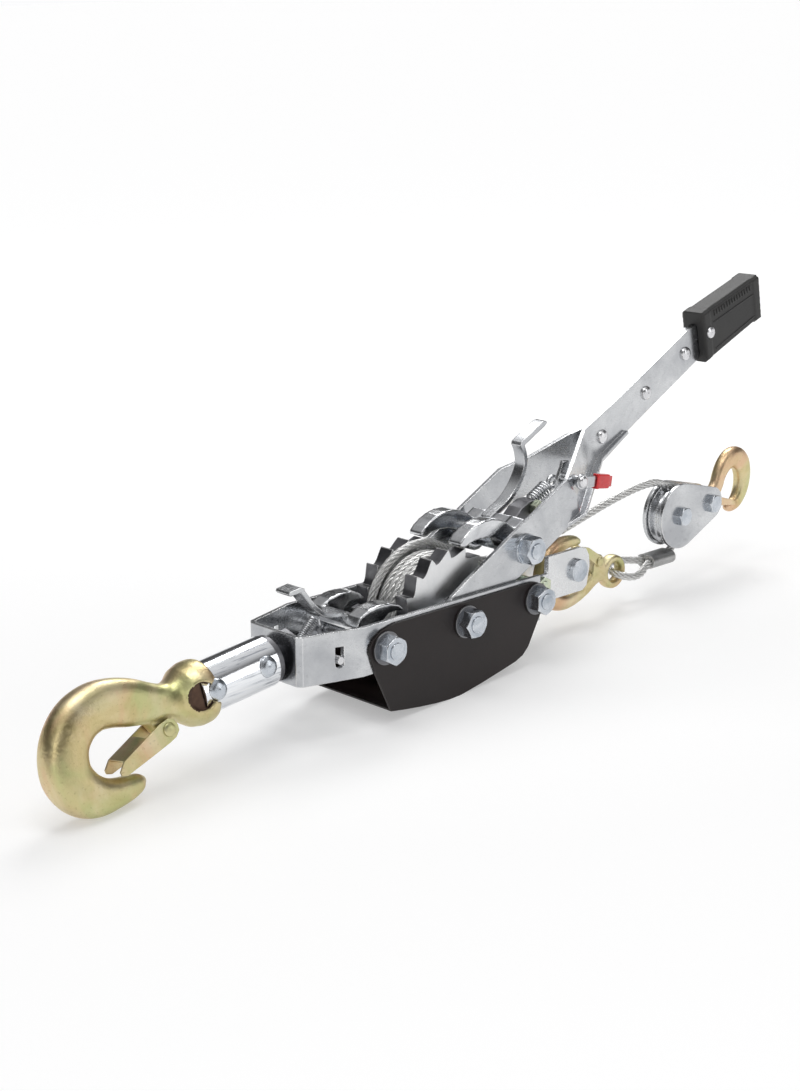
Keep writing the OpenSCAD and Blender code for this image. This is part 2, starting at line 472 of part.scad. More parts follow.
// ---- rope --------------------------------------------------------------------
// the wrap that leaves the drum over its top, the run to the sheave, the turn
// round it, the ferrule, the loop through the rear hook's eye and back
rope_lead = wind_r + rr + 0.6;
route = concat(
  [for (a = [235:-7.5:85]) [rope_lead * cos(a), 9.5, rope_lead * sin(a)]],
  [[14, 9.4, 46.8], [32, 9, 37.6], [52, 8.5, 27], [70, 8, 21.6], [90, 7, 20.2], [112, 5.5, 21.6], [135, 4, 25.6], [158, 2.5, 31],
   [182, 1, 37.4], [206, -0.5, 43.6], [230, -1.8, 48.8], [250, -2.6, 51.6], [266, -3, 51.6], [280, -3, 47.6]],
  [for (a = [82:-24:-86]) [292.4 + 23.4 * cos(a), -3, 20.2 + 23.4 * sin(a)]],
  [[297, -2.6, -6.4], [289.5, -1.4, -12.2], [281, -0.2, -14.4], [270, 0.5, -14.5], [259, 0.8, -14.2]],
  [[249, 4.2, -12.8], [240, 8.6, -11.8], [231, 10.6, -12.0], [223.5, 8.6, -13.0], [218.6, 3.6, -14.6], [217.8, -1.4, -15.8], [219.6, -6.6, -17.4],
   [224.5, -11, -19], [232, -12.8, -19.8], [241, -11.8, -19], [250, -8.8, -16.6], [259, -6.8, -14.6], [270, -6.5, -14.5], [284, -6.5, -14.5]]);
module wire_rope() color("darkgray") seat() tube(route, rr, 10);
module rope_ferrule() color("dimgray") seat() translate([258, -3, -14.4]) rotate([0, 90, 0]) difference() {
  linear_extrude(29) union() { for (q = [-1, 1]) translate([0, q * 3.6]) circle(r = 5.6); square([11.2, 7.2], center = true); }
  for (q = [-1, 1]) translate([0, q * 3.6, -1]) cylinder(r = rr + 0.02, h = 40);
}

// ---- pulley block --------------------------------------------------------------
by = -3;
sb = [292.4, 20.2];
kb = [334.1, 24.1];
// outline round two circles of different size
module cheek_side() {
  d = kb - sb; l = norm(d); b0 = atan2(d[1], d[0]); g = acos((cheek_r - 14) / l);
  polygon(concat([for (i = [0:30]) let (a = b0 + g + i * (360 - 2 * g) / 30) sb + cheek_r * [cos(a), sin(a)]],
    [for (i = [0:14]) let (a = b0 - g + i * 2 * g / 14) kb + 14 * [cos(a), sin(a)]]));
}
module cheek(y0, y1) difference() {
  slab(y0, y1) cheek_side();
  bar_y(5.02, y0 - 1, y1 + 1, sb[0], sb[1]);
  bar_y(5.02, y0 - 1, y1 + 1, kb[0], kb[1]);
}
module block_cheek_near() color("lightgray") seat() cheek(by - 10, by - 7);
module block_cheek_far() color("lightgray") seat() cheek(by + 7, by + 10);
module sheave() color("silver") seat() translate([sb[0], by - 6.5, sb[1]]) rotate([-90, 0, 0]) rotate_extrude()
  polygon([[5.05, 0], [sheave_r, 0], [sheave_r, 1.4], [21.6, 2.6], [19.9, 4.2], [19.4, 6.5], [19.9, 8.8], [21.6, 10.4], [sheave_r, 11.6], [sheave_r, 13], [5.05, 13]]);
module block_bolt(c) {
  bar_y(5, by - 13.5, by + 13, c[0], c[1]);
  for (q = [-1, 1]) intersection() {
    hex_y(14.5, by + (q > 0 ? 10 : -15), by + (q > 0 ? 15 : -10), c[0], c[1], 10);
    translate([c[0], by + q * 10, c[1]]) rotate([q > 0 ? -90 : 90, 0, 0]) rotate_extrude() polygon([[0, 0], [8.6, 0], [8.6, 3.8], [7, 5], [0, 5]]);
  }
}
module sheave_bolt() color("lightsteelblue") seat() block_bolt(sb);
module hook_bolt() color("lightsteelblue") seat() block_bolt(kb);
bc = [[342, 26.5], [348.5, 30], [353, 36], [356, 43.5], [361.5, 51], [370, 56], [379, 55.4], [386.5, 49.5], [390, 40], [389.6, 30], [386.2, 21.5], [380.4, 15.2], [373, 12.8], [368.5, 13.6]];
bw = [7.4, 6.8, 6.4, 6.4, 7.2, 8.6, 9.6, 9.4, 8.4, 7.2, 6.4, 5.6, 4.6, 3.2];
bt = [5, 5.1, 5.2, 5.4, 6, 6.4, 6.4, 6.4, 6.2, 6, 5.6, 5, 4.2, 3];
module block_hook() color([0.84, 0.74, 0.5]) seat() translate([0, by, 0]) difference() {
  union() {
    forged(bc, bw, bt, 12);
    bar_y(11, -5, 5, kb[0], kb[1]);
    slab(-5, 5) polygon([[336, 13.6], [344, 17], [352, 20], [352, 26.5], [345, 30], [338, 34]]);
  }
  bar_y(5.06, -20, 20, kb[0], kb[1]);
  bar_y(2.03, -20, 20, 347.5, 22.6);
}
module block_hook_latch() color([0.8, 0.68, 0.48]) seat() translate([0, by, 0]) {
  for (q = [-1, 1]) slab(q > 0 ? 5.6 : -6.6, q > 0 ? 6.6 : -5.6) polygon([[343.8, 20.8], [345.6, 26.2], [350, 26.4], [369, 20.6], [374, 17.6], [373, 15.4], [350, 18.6], [345.6, 18.8]]);
  slab(-5.65, 5.65) polygon([[358, 22.45], [370, 19.0], [370.4, 20.2], [358.4, 23.7]]);
  bar_y(2, -6.6, 6.6, 347.5, 22.6);
}

frame_strap();
guard();
front_bolt();
axle_bolt();
rear_bolt();
frame_nuts();
frame_washers();
front_spacer();
axle_bush();
axle_spacers();
rear_spacer();
drum_core();
ratchet_near();
ratchet_far();
rope_winding();
handle_half_near();
handle_half_far();
handle_rivets();
handle_grip();
grip_rivet();
pawl_bolt();
pawl_bolt_nut();
drive_pawl();
release_lever();
pawl_tail_block();
pawl_tail_bolt();
pawl_spring_rod();
pawl_spring();
direction_lever();
direction_lever_cap();
direction_lever_screw();
direction_inner_arm();
holding_pawl();
holding_pawl_lever();
holding_pawl_spring();
spring_anchor_pin();
swivel_stem();
nose_washer();
swivel_sleeve();
sleeve_rivets();
front_hook();
front_latch();
front_latch_pin();
front_latch_spring();
anchor_bracket();
anchor_pin();
anchor_bolt();
rear_hook();
rear_hook_latch();
rear_latch_rivet();
wire_rope();
rope_ferrule();
block_cheek_near();
block_cheek_far();
sheave();
sheave_bolt();
hook_bolt();
block_hook();
block_hook_latch();
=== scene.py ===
import bpy, bmesh, math, json
import numpy as np
from mathutils import Matrix, Vector


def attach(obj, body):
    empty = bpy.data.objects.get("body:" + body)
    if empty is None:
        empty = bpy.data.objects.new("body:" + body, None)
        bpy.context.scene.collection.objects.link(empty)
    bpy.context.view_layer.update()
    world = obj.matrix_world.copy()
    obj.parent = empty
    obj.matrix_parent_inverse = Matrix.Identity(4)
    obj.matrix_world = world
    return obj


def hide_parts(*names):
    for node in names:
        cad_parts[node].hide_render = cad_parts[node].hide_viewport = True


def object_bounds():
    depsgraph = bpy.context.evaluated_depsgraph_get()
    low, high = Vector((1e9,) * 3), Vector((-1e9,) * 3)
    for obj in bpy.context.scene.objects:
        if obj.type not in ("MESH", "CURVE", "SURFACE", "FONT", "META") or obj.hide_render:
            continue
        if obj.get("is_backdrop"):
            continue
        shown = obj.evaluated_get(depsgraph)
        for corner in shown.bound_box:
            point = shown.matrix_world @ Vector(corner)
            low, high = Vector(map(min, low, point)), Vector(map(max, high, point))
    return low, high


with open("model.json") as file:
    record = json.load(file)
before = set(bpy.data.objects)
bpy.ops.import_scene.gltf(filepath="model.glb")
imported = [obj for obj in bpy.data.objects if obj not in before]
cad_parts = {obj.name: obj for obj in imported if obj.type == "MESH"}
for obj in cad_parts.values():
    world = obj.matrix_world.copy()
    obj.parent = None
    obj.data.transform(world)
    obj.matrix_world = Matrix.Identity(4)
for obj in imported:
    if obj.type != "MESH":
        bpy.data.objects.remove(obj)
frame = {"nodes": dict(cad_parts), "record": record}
cad_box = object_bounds()
N = frame["nodes"]
scene = bpy.context.scene

# ---- frames of the winch: axle frame (mm) to the row frame (m) ----------------
PITCH = math.radians(2.64)
ORG = np.array([-32.7, 2.35, 54.711])
RY = np.array([[math.cos(PITCH), 0, math.sin(PITCH)], [0, 1, 0], [-math.sin(PITCH), 0, math.cos(PITCH)]])


def W(p):
    return (np.asarray(p, float) @ RY.T + ORG) / 1000.0


HA = math.radians(27.4)


def Hf(p):
    p = np.atleast_2d(np.asarray(p, float))
    return np.stack([p[:, 0] * math.cos(HA) - p[:, 2] * math.sin(HA), p[:, 1], p[:, 0] * math.sin(HA) + p[:, 2] * math.cos(HA)], 1)


def Sf(p):
    p = np.atleast_2d(np.asarray(p, float))
    ro, dr = math.radians(13), math.radians(6.86)
    y = p[:, 1] * math.cos(ro) - p[:, 2] * math.sin(ro)
    z = p[:, 1] * math.sin(ro) + p[:, 2] * math.cos(ro)
    x, y = -p[:, 0], -y
    return np.stack([x * math.cos(dr) - z * math.sin(dr) - 150, y, x * math.sin(dr) + z * math.cos(dr) - 2], 1)


def ident(p):
    return np.atleast_2d(np.asarray(p, float))


# ---- camera ---------------------------------------------------------------------
az, el = math.radians(45.42), math.radians(15.34)
fwd = np.array([math.cos(az) * math.cos(el), math.sin(az) * math.cos(el), -math.sin(el)])
right = np.array([math.sin(az), -math.cos(az), 0.0])
up = np.cross(right, fwd)
cam_data = bpy.data.cameras.new("camera")
cam = bpy.data.objects.new("camera", cam_data)
scene.collection.objects.link(cam)
m = Matrix.Identity(4)
for i, v in enumerate([right, up, -fwd]):
    v = RY @ v
    for k in range(3):
        m[k][i] = v[k]
loc = W([-918.478, -905.721, 402.346])
for k in range(3):
    m[k][3] = loc[k]
cam.matrix_world = m
cam_data.sensor_width = 36
cam_data.sensor_fit = "AUTO"
cam_data.lens = 1833.77 * 36 / 1091
cam_data.clip_end = 200
scene.camera = cam

# ---- mesh helpers -----------------------------------------------------------------


def new_obj(name, verts, faces, smooth=True, uv=None):
    me = bpy.data.meshes.new(name)
    me.from_pydata([tuple(v) for v in verts], [], [tuple(int(i) for i in f) for f in faces])
    me.update()
    if uv is not None:
        lay = me.uv_layers.new(name="uv")
        li = np.zeros(len(me.loops), dtype=np.int32)
        me.loops.foreach_get("vertex_index", li)
        lay.data.foreach_set("uv", np.asarray(uv, np.float32)[li].ravel())
    ob = bpy.data.objects.new(name, me)
    scene.collection.objects.link(ob)
    if smooth:
        me.polygons.foreach_set("use_smooth", [True] * len(me.polygons))
    return ob


def cr(p, k):
    """Catmull-Rom through the rows of p, k steps a span."""
    p = np.asarray(p, float)
    n = len(p)
    out = []
    for i in range(n - 1):
        a, b, c, d = p[max(i - 1, 0)], p[i], p[i + 1], p[min(i + 2, n - 1)]
        for j in range(k):
            t = j / k
            out.append(0.5 * ((2 * b) + (c - a) * t + (2 * a - 5 * b + 4 * c - d) * t * t + (3 * b - a - 3 * c + d) * t ** 3))
    out.append(p[-1])
    return np.array(out)


def resample(p, ds):
    seg = np.linalg.norm(np.diff(p, axis=0), axis=1)
    s = np.concatenate([[0], np.cumsum(seg)])
    n = max(2, int(round(s[-1] / ds)) + 1)
    q = np.linspace(0, s[-1], n)
    return np.stack([np.interp(q, s, p[:, i]) for i in range(3)], 1), q


def transport(p):
    t = np.gradient(p, axis=0)
    t /= np.linalg.norm(t, axis=1)[:, None]
    f = np.zeros_like(p)
    g = np.cross(t[0], [0, 1, 0]) if abs(t[0][1]) < 0.9 else np.cross(t[0], [1, 0, 0])
    g /= np.linalg.norm(g)
    for i in range(len(p)):
        g = g - t[i] * (g @ t[i])
        g /= np.linalg.norm(g)
        f[i] = g
    return t, f, np.cross(t, f)


def tube_mesh(p, r, m=10):
    """verts, faces and uv of a closed round tube."""
    t, f, b = transport(p)
    r = np.broadcast_to(np.asarray(r, float), (len(p),))
    a = np.arange(m) * 2 * math.pi / m
    v = p[:, None, :] + r[:, None, None] * (np.cos(a)[None, :, None] * f[:, None, :] + np.sin(a)[None, :, None] * b[:, None, :])
    n = len(p)
    v = v.reshape(-1, 3)
    fs = [(i * m + j, i * m + (j + 1) % m, (i + 1) * m + (j + 1) % m, (i + 1) * m + j) for i in range(n - 1) for j in range(m)]
    fs += [tuple(range(m))[::-1], tuple((n - 1) * m + j for j in range(m))]
    s = np.concatenate([[0], np.cumsum(np.linalg.norm(np.diff(p, axis=0), axis=1))])
    uv = np.stack([np.repeat(s, m), np.tile(a / (2 * math.pi), n)], 1)
    return v, fs, uv


def join(parts):
    V, F, U, o = [], [], [], 0
    for v, f, u in parts:
        V.append(v)
        F += [tuple(i + o for i in q) for q in f]
        U.append(u if u is not None else np.zeros((len(v), 2)))
        o += len(v)
    return np.vstack(V), F, np.vstack(U)


def strands(p, rope_r, lay=40.0, count=6, m=8, phase=0.0, ds=1.6):
    """Laid rope along p (mm): outer strands and a core."""
    p, s = resample(p, ds)
    t, f, b = transport(p)
    rs = rope_r / 2.9
    rc = rope_r - rs
    parts = []
    for j in range(count):
        a = 2 * math.pi * (j / count) + 2 * math.pi * s / lay + phase
        c = p + rc * (np.cos(a)[:, None] * f + np.sin(a)[:, None] * b)
        parts.append(tube_mesh(c, rs, m))
    parts.append(tube_mesh(p, rope_r * 0.62, 6))
    return parts, p


def oval_sweep(p, w, t, m=36, cap=True):
    """Solid swept along a flat centre line in x and z, superelliptic rings, rounded at the last end and flat at the
    first.
    """
    p = np.asarray(p, float)
    tg = np.gradient(p, axis=0)
    tg /= np.linalg.norm(tg, axis=1)[:, None]
    rings = []

    def ring(c, d, wi, ti):
        a = 2 * math.pi * (np.arange(m) + 0.5) / m
        co, si = np.cos(a), np.sin(a)
        q = (np.abs(co) ** 2.5 + np.abs(si) ** 2.5) ** (-1 / 2.5)
        return np.stack([c[0] - d[1] * wi * co * q, ti * si * q, c[1] + d[0] * wi * co * q], 1)
    for i in range(len(p)):
        rings.append(ring(p[i], tg[i], w[i], t[i]))
    if cap:
        e = len(p) - 1
        for k in range(1, 5):
            h = math.sin(k * math.pi / 9) * 0.55 * min(w[e], t[e])
            sc = math.cos(k * math.pi / 9)
            rings.append(ring(p[e] + tg[e] * h, tg[e], w[e] * sc, t[e] * sc))
    n = len(rings)
    v = np.vstack(rings)
    fs = [(i * m + j, (i + 1) * m + j, (i + 1) * m + (j + 1) % m, i * m + (j + 1) % m) for i in range(n - 1) for j in range(m)]
    fs += [tuple(range(m)), tuple((n - 1) * m + j for j in range(m))[::-1]]
    return v, fs, None


def slab_mesh(poly, y0, y1):
    n = len(poly)
    v = np.array([[x, y0, z] for x, z in poly] + [[x, y1, z] for x, z in poly], float)
    fs = [(i, (i + 1) % n, n + (i + 1) % n, n + i) for i in range(n)] + [tuple(range(n))[::-1], tuple(range(n, 2 * n))]
    return v, fs, None


def ring_mesh(cx, cz, prof, m=64):
    """Revolved about a y axis through cx, cz; prof is a closed loop of (radius, y)."""
    k = len(prof)
    v = []
    for i in range(m):
        a = 2 * math.pi * i / m
        v += [[cx + r * math.cos(a), y, cz + r * math.sin(a)] for r, y in prof]
    fs = [(i * k + j, i * k + (j + 1) % k, ((i + 1) % m) * k + (j + 1) % k, ((i + 1) % m) * k + j) for i in range(m) for j in range(k)]
    return np.array(v, float), fs, None


def revolve_x(prof, m=72):
    """Closed loop of (radius, x) about the x axis."""
    k = len(prof)
    v = []
    for i in range(m):
        a = 2 * math.pi * i / m
        v += [[x, r * math.cos(a), r * math.sin(a)] for r, x in prof]
    fs = [(i * k + j, ((i + 1) % m) * k + j, ((i + 1) % m) * k + (j + 1) % k, i * k + (j + 1) % k) for i in range(m) for j in range(k)]
    return np.array(v, float), fs, None


def recalc(ob):
    bm = bmesh.new()
    bm.from_mesh(ob.data)
    bmesh.ops.recalc_face_normals(bm, faces=bm.faces)
    bm.to_mesh(ob.data)
    bm.free()


def bake_mods(ob, name):
    dg = bpy.context.evaluated_depsgraph_get()
    me = bpy.data.meshes.new_from_object(ob.evaluated_get(dg), depsgraph=dg)
    me.name = name
    for mo in list(ob.modifiers):
        ob.modifiers.remove(mo)
    ob.data = me
    me.polygons.foreach_set("use_smooth", [True] * len(me.polygons))


def remesh(ob, voxel, smooth=6, factor=0.5, cutters=()):
    """Fuses the closed shells of ob and rounds its corners."""
    for c in cutters:
        b = ob.modifiers.new("cut", "BOOLEAN")
        b.operation = "DIFFERENCE"
        b.solver = "EXACT"
        b.use_self = True
        b.object = c
    r = ob.modifiers.new("fuse", "REMESH")
    r.mode = "VOXEL"
    r.voxel_size = voxel
    r.use_smooth_shade = True
    s = ob.modifiers.new("ease", "SMOOTH")
    s.factor = factor
    s.iterations = smooth
    bake_mods(ob, ob.name)
    for c in cutters:
        bpy.data.objects.remove(c)


def soften(node, voxel, smooth, name):
    """A rounded copy of a CAD node that stands for it."""
    src = N[node]
    me = src.data.copy()
    ob = bpy.data.objects.new(name, me)
    scene.collection.objects.link(ob)
    bm = bmesh.new()
    bm.from_mesh(me)
    bmesh.ops.remove_doubles(bm, verts=bm.verts, dist=1e-6)
    bm.to_mesh(me)
    bm.free()
    remesh(ob, voxel, smooth)
    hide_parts(node)
    return ob


def finish_piece(ob, body, mat):
    ob.data.materials.clear()
    ob.data.materials.append(mat)
    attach(ob, body)


# ---- materials --------------------------------------------------------------------


class M:
    def __init__(self, name):
        self.mat = bpy.data.materials.new(name)
        self.mat.use_nodes = True
        self.nt = self.mat.node_tree
        self.b = self.nt.nodes["Principled BSDF"]
        self.tc = self.nt.nodes.new("ShaderNodeTexCoord")

    def n(self, kind, **kw):
        nd = self.nt.nodes.new(kind)
        for k, v in kw.items():
            setattr(nd, k, v)
        return nd

    def l(self, a, b):
        self.nt.links.new(a, b)

    def noise(self, scale, detail=4, rough=0.6, stretch=(1, 1, 1), src=None, dist=0.0):
        mp = self.n("ShaderNodeMapping")
        mp.inputs["Scale"].default_value = stretch
        self.l(src or self.tc.outputs["Object"], mp.inputs["Vector"])
        t = self.n("ShaderNodeTexNoise")
        t.inputs["Scale"].default_value = scale
        t.inputs["Detail"].default_value = detail
        t.inputs["Roughness"].default_value = rough
        t.inputs["Distortion"].default_value = dist
        self.l(mp.outputs["Vector"], t.inputs["Vector"])
        return t.outputs["Fac"]

    def ramp(self, fac, stops):
        r = self.n("ShaderNodeValToRGB")
        while len(r.color_ramp.elements) < len(stops):
            r.color_ramp.elements.new(0.5)
        for e, (p, c) in zip(r.color_ramp.elements, stops):
            e.position = p
            e.color = (c[0], c[1], c[2], 1)
        self.l(fac, r.inputs["Fac"])
        return r.outputs["Color"]

    def rng(self, v, a, b, c, d):
        r = self.n("ShaderNodeMapRange")
        for i, x in enumerate((a, b, c, d)):
            r.inputs[i + 1].default_value = x
        self.l(v, r.inputs[0])
        return r.outputs[0]

    def math(self, op, a, b=None):
        k = self.n("ShaderNodeMath", operation=op)
        for i, v in enumerate((a, b)):
            if v is None:
                continue
            if isinstance(v, (int, float)):
                k.inputs[i].default_value = v
            else:
                self.l(v, k.inputs[i])
        return k.outputs[0]

    def mix(self, fac, a, b, mode="MIX"):
        k = self.n("ShaderNodeMix", data_type="RGBA", blend_type=mode)
        for sock, v in ((0, fac), (6, a), (7, b)):
            if isinstance(v, (int, float)):
                k.inputs[sock].default_value = v
            elif isinstance(v, tuple):
                k.inputs[sock].default_value = (v[0], v[1], v[2], 1)
            else:
                self.l(v, k.inputs[sock])
        return k.outputs[2]

    def edge(self, radius=0.0006):
        """(rounded normal, edge mask); callers lighten colour by the mask, partly rubbed-edge wear, partly painted edge
        highlight
        """
        bv = self.n("ShaderNodeBevel", samples=4)
        bv.inputs["Radius"].default_value = radius
        ge = self.n("ShaderNodeNewGeometry")
        dt = self.n("ShaderNodeVectorMath", operation="DOT_PRODUCT")
        self.l(bv.outputs[0], dt.inputs[0])
        self.l(ge.outputs["Normal"], dt.inputs[1])
        return bv.outputs[0], self.rng(dt.outputs["Value"], 0.995, 0.93, 0, 1)

    def bump(self, height, dist, strength=1.0, normal=None):
        k = self.n("ShaderNodeBump")
        k.inputs["Strength"].default_value = strength
        k.inputs["Distance"].default_value = dist
        self.l(height, k.inputs["Height"])
        if normal is not None:
            self.l(normal, k.inputs["Normal"])
        return k.outputs[0]

    def out(self, color=None, rough=None, metallic=None, normal=None, **kw):
        for sock, v in (("Base Color", color), ("Roughness", rough), ("Metallic", metallic), ("Normal", normal)):
            if v is None:
                continue
            if isinstance(v, (int, float)):
                self.b.inputs[sock].default_value = v
            elif isinstance(v, tuple):
                self.b.inputs[sock].default_value = (v[0], v[1], v[2], 1)
            else:
                self.l(v, self.b.inputs[sock])
        for k, v in kw.items():
            self.b.inputs[k.replace("_", " ")].default_value = v
        return self.mat


def metal(name, c0, c1, edge_wear_highlight_c, r0, r1, cloud=18, grain=900, bump=0.00004, stretch=(1, 1, 1), streak=0.0, bev=0.0007, spots=0.0, met=1.0):
    k = M(name)
    nrm, em = k.edge(bev)
    big = k.noise(cloud, 5, 0.62, dist=0.4)
    fine = k.noise(grain, 3, 0.7, stretch)
    col = k.ramp(big, [(0.32, c1), (0.68, c0)])
    if spots:
        sp = k.noise(260, 2, 0.5)
        col = k.mix(k.math("MULTIPLY", k.rng(sp, 0.62, 0.72, 0, 1), spots), col, (c1[0] * 0.45, c1[1] * 0.45, c1[2] * 0.45))
    # lighter colour at edges: partly rubbed-edge wear, partly painted edge highlight
    col = k.mix(k.math("MULTIPLY", em, 0.75), col, edge_wear_highlight_c)
    rg = k.rng(k.math("ADD", k.math("MULTIPLY", big, 0.6), k.math("MULTIPLY", fine, 0.4)), 0.3, 0.7, r0, r1)
    if streak:
        st = k.noise(60, 4, 0.7, (0.6, 14, 14))
        rg = k.math("ADD", rg, k.math("MULTIPLY", k.rng(st, 0.5, 0.75, 0, 1), streak))
    rg = k.math("MULTIPLY", rg, k.rng(em, 0, 1, 1.0, 0.7))
    nn = k.bump(fine, bump, 0.6, nrm)
    nn = k.bump(big, bump * 6, 0.35, nn)
    return k.out(col, rg, met, nn)


def gold():
    k = M("gold_zinc")
    nrm, em = k.edge(0.0008)
    a = k.noise(26, 4, 0.6, dist=0.8)
    b = k.noise(14, 3, 0.55, (1, 1.4, 1), dist=1.6)
    fine = k.noise(520, 3, 0.65)
    pit = k.noise(1500, 2, 0.6)
    col = k.ramp(a, [(0.28, (0.50, 0.41, 0.18)), (0.5, (0.66, 0.55, 0.30)), (0.72, (0.78, 0.68, 0.45))])
    col = k.mix(k.math("MULTIPLY", k.rng(b, 0.50, 0.66, 0, 1), 0.55), col, (0.74, 0.42, 0.29))
    col = k.mix(k.math("MULTIPLY", k.rng(b, 0.47, 0.33, 0, 1), 0.50), col, (0.46, 0.55, 0.24))
    col = k.mix(k.math("MULTIPLY", k.rng(fine, 0.60, 0.74, 0, 1), 0.45), col, (0.27, 0.21, 0.10))
    # pale colour at edges: partly rubbed-edge wear, partly painted edge highlight
    col = k.mix(k.math("MULTIPLY", em, 0.4), col, (0.88, 0.80, 0.58))
    rg = k.rng(k.math("ADD", k.math("MULTIPLY", a, 0.5), k.math("MULTIPLY", fine, 0.5)), 0.32, 0.68, 0.27, 0.46)
    nn = k.bump(fine, 0.00030, 0.75, nrm)
    nn = k.bump(pit, 0.00006, 0.5, nn)
    return k.out(col, rg, 1.0, nn)


def sleeve():
    k = M("bright_sleeve")
    nrm, em = k.edge(0.0006)
    st = k.noise(50, 5, 0.7, (0.5, 10, 10), dist=0.3)
    big = k.noise(20, 4, 0.6)
    # dark and bright bands along the sleeve in the colour are painted reflection streaks
    col = k.ramp(st, [(0.34, (0.36, 0.38, 0.42)), (0.46, (0.80, 0.82, 0.85)), (0.7, (0.90, 0.91, 0.92))])
    # near-white colour at edges: partly rubbed-edge wear, partly painted edge highlight
    col = k.mix(k.math("MULTIPLY", em, 0.6), col, (0.93, 0.93, 0.94))
    rg = k.rng(k.math("ADD", k.math("MULTIPLY", st, 0.5), k.math("MULTIPLY", big, 0.5)), 0.3, 0.7, 0.08, 0.22)
    return k.out(col, rg, 1.0, k.bump(st, 0.00003, 0.5, nrm))


def toothed():
    """Bright side faces, darker tooth flanks."""
    k = M("cast_teeth")
    nrm, em = k.edge(0.0007)
    ge = k.n("ShaderNodeNewGeometry")
    sx = k.n("ShaderNodeSeparateXYZ")
    k.l(ge.outputs["True Normal"], sx.inputs[0])
    side = k.rng(k.math("ABSOLUTE", sx.outputs[1]), 0.5, 0.85, 0, 1)
    big = k.noise(24, 5, 0.65, dist=0.5)
    fine = k.noise(700, 3, 0.7)
    face = k.ramp(big, [(0.3, (0.66, 0.67, 0.68)), (0.7, (0.86, 0.86, 0.86))])
    flank = k.ramp(big, [(0.3, (0.05, 0.05, 0.055)), (0.7, (0.26, 0.26, 0.27))])
    col = k.mix(side, flank, face)
    # light grey colour at edges: partly rubbed-edge wear, partly painted edge highlight
    col = k.mix(k.math("MULTIPLY", em, 0.7), col, (0.92, 0.92, 0.92))
    rg = k.rng(k.math("ADD", k.math("MULTIPLY", big, 0.5), k.math("MULTIPLY", fine, 0.5)), 0.3, 0.7, 0.24, 0.44)
    return k.out(col, rg, 1.0, k.bump(fine, 0.00009, 0.6, nrm))


def paint():
    k = M("black_paint")
    nrm, em = k.edge(0.0008)
    big = k.noise(16, 5, 0.65)
    peel = k.noise(420, 2, 0.5)
    dust = k.noise(900, 3, 0.8)
    col = k.ramp(big, [(0.3, (0.010, 0.0064, 0.0062)), (0.75, (0.020, 0.0138, 0.0130))])
    col = k.mix(k.math("MULTIPLY", k.rng(dust, 0.66, 0.78, 0, 1), 0.12), col, (0.30, 0.29, 0.27))
    # grey colour at edges: partly rubbed-edge wear, partly painted edge highlight
    col = k.mix(k.math("MULTIPLY", em, 0.25), col, (0.22, 0.21, 0.20))
    rg = k.rng(big, 0.3, 0.7, 0.30, 0.44)
    return k.out(col, rg, 0.0, k.bump(peel, 0.00006, 0.5, nrm), Specular_IOR_Level=0.26, Coat_Weight=0.06, Coat_Roughness=0.25)


def rope_mat(name):
    k = M(name)
    uvn = k.n("ShaderNodeUVMap", uv_map="uv")
    sp = k.n("ShaderNodeSeparateXYZ")
    k.l(uvn.outputs[0], sp.inputs[0])
    # wires: seven round each strand, running along it with a slight twist. The colour ramp darkens the grooves between
    # wires as painted shade and lightens their crowns as painted highlight.
    ph = k.math("ADD", k.math("MULTIPLY", sp.outputs[1], 5.0), k.math("MULTIPLY", sp.outputs[0], 0.22))
    wv = k.math("ABSOLUTE", k.math("SINE", k.math("MULTIPLY", ph, math.pi)))
    big = k.noise(40, 4, 0.6)
    fine = k.noise(1400, 2, 0.6)
    col = k.ramp(wv, [(0.0, (0.20, 0.20, 0.20)), (0.3, (0.62, 0.62, 0.61)), (1.0, (0.90, 0.90, 0.89))])
    col = k.mix(k.rng(big, 0.35, 0.7, 0, 0.3), col, (0.46, 0.45, 0.43))
    rg = k.rng(k.math("ADD", k.math("MULTIPLY", big, 0.5), k.math("MULTIPLY", fine, 0.5)), 0.3, 0.7, 0.30, 0.46)
    return k.out(col, rg, 0.95, k.bump(wv, 0.00014, 0.8))


def rubber():
    k = M("grip_rubber")
    nrm, em = k.edge(0.0008)
    big = k.noise(30, 4, 0.6)
    grain = k.noise(1300, 3, 0.7)
    col = k.ramp(big, [(0.3, (0.012, 0.012, 0.012)), (0.7, (0.028, 0.027, 0.026))])
    # lighter colour at edges: partly scuffing, partly painted edge highlight
    col = k.mix(k.math("MULTIPLY", em, 0.3), col, (0.09, 0.09, 0.09))
    rg = k.rng(k.math("ADD", k.math("MULTIPLY", big, 0.4), k.math("MULTIPLY", grain, 0.6)), 0.3, 0.7, 0.42, 0.62)
    return k.out(col, rg, 0.0, k.bump(grain, 0.0001, 0.6, nrm))


def vinyl():
    k = M("red_vinyl")
    big = k.noise(60, 3, 0.5)
    grain = k.noise(900, 2, 0.5)
    col = k.ramp(big, [(0.3, (0.56, 0.008, 0.012)), (0.7, (0.74, 0.018, 0.02))])
    rg = k.rng(grain, 0.3, 0.7, 0.16, 0.30)
    return k.out(col, rg, 0.0, k.bump(big, 0.0002, 0.4), Coat_Weight=0.5, Coat_Roughness=0.12)


